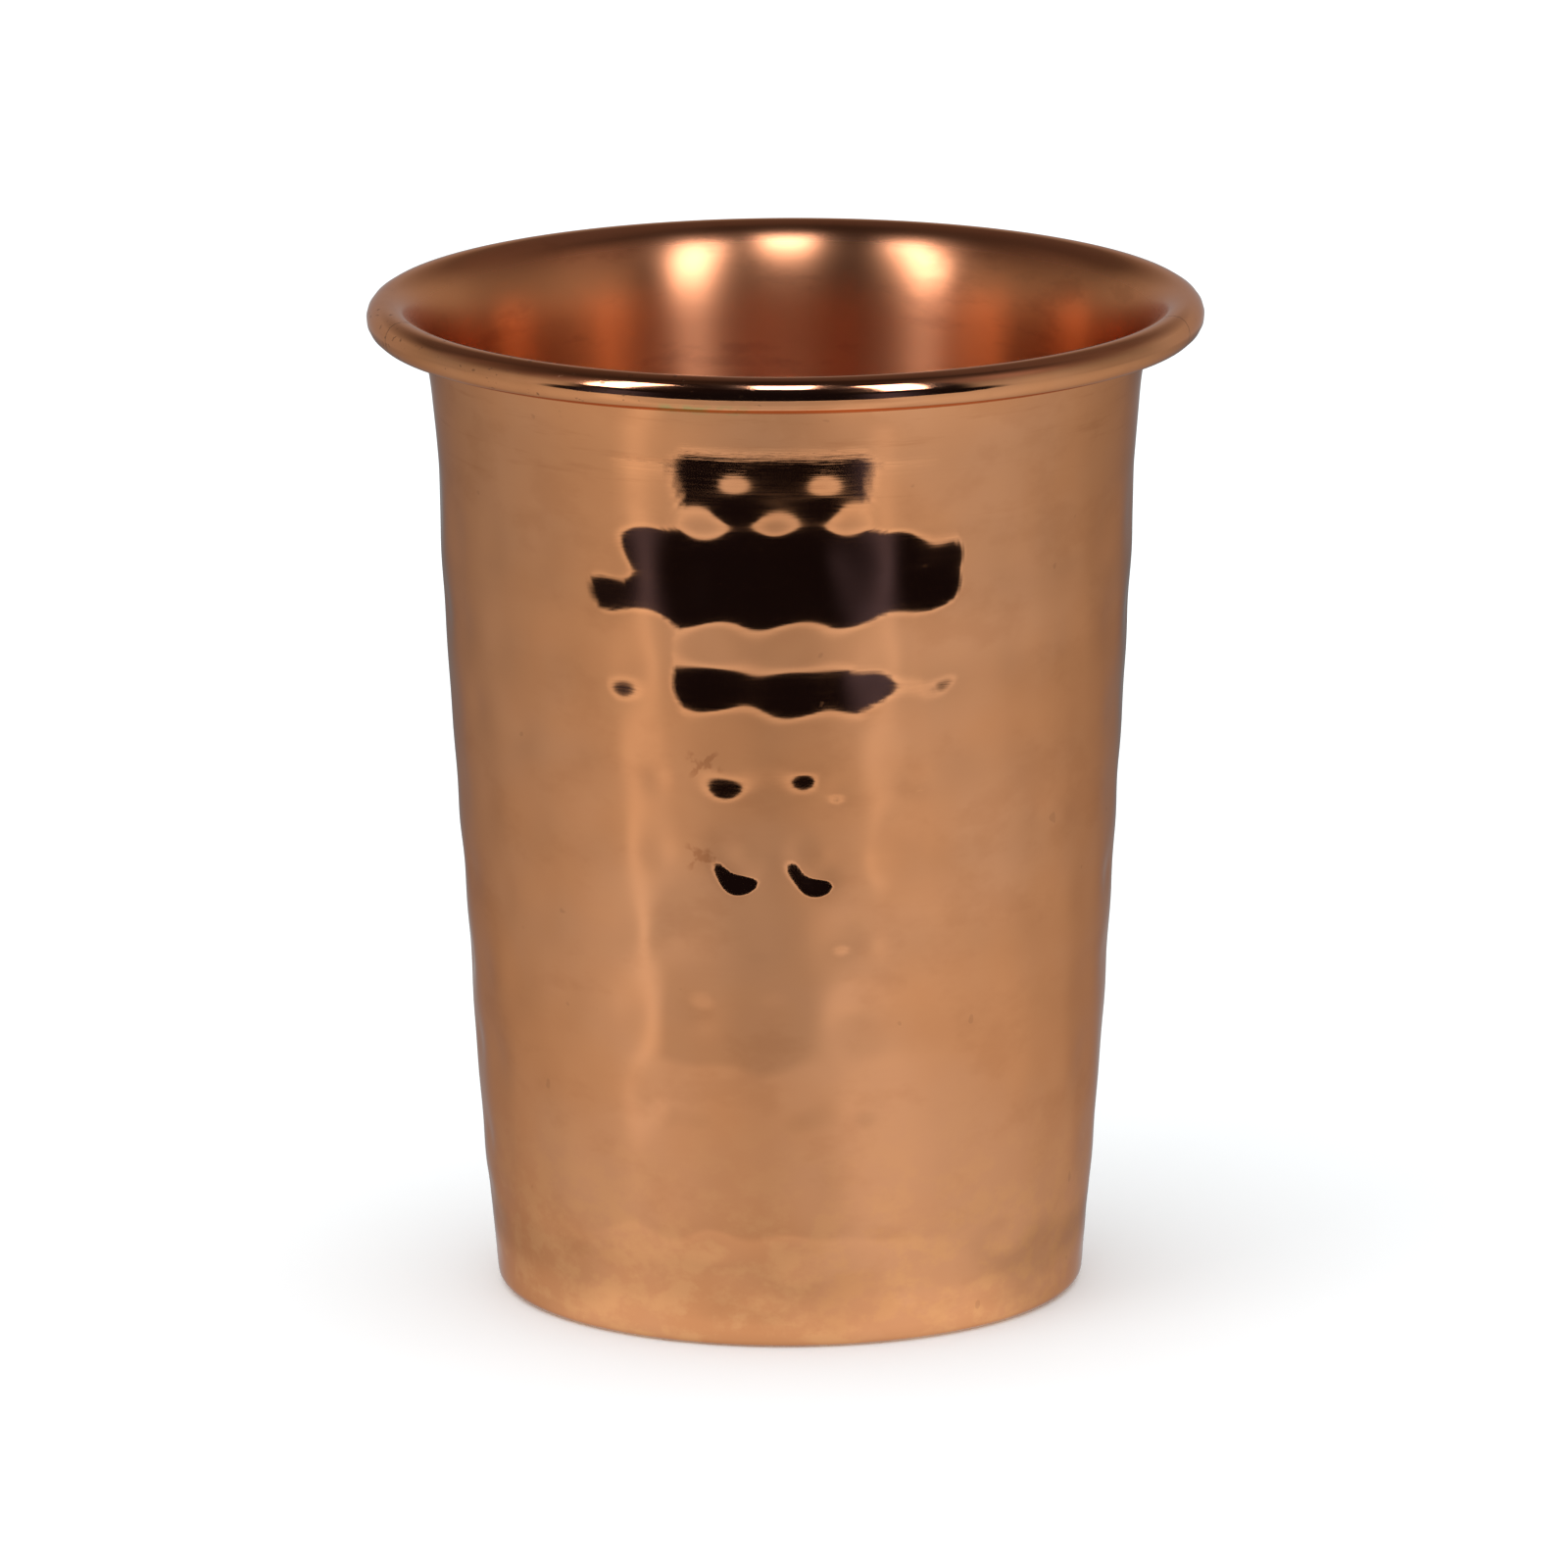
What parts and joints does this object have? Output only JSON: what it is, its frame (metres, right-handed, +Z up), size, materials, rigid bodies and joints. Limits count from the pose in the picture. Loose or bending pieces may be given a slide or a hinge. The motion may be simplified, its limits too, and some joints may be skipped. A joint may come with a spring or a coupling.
{
  "type": "drinking tumbler",
  "caption": "Hammered copper drinking tumbler with a tapered wall, a flared wired lip and a soldered-in flat base.",
  "frame": {"origin": "middle of the flat ring that the tumbler stands on", "axes": "+Z up along the tumbler's axis, from the base to the lip; +X and +Y are alike, because the tumbler is round"},
  "size_m": [0.083, 0.083, 0.1],
  "materials": {
    "hammered_copper": "hammered and buffed copper, fine lathe lines, light tarnish under the lip",
    "base_copper": "planished copper, duller than the wall",
    "tin_solder": "wiped tin solder, satin",
    "steel_wire": "drawn steel wire"
  },
  "bodies": {
    "root": {"wall_shell": "hammered_copper", "base_disc": "base_copper", "base_solder": "tin_solder", "rim_wire": "steel_wire"}
  },
  "joints": []
}
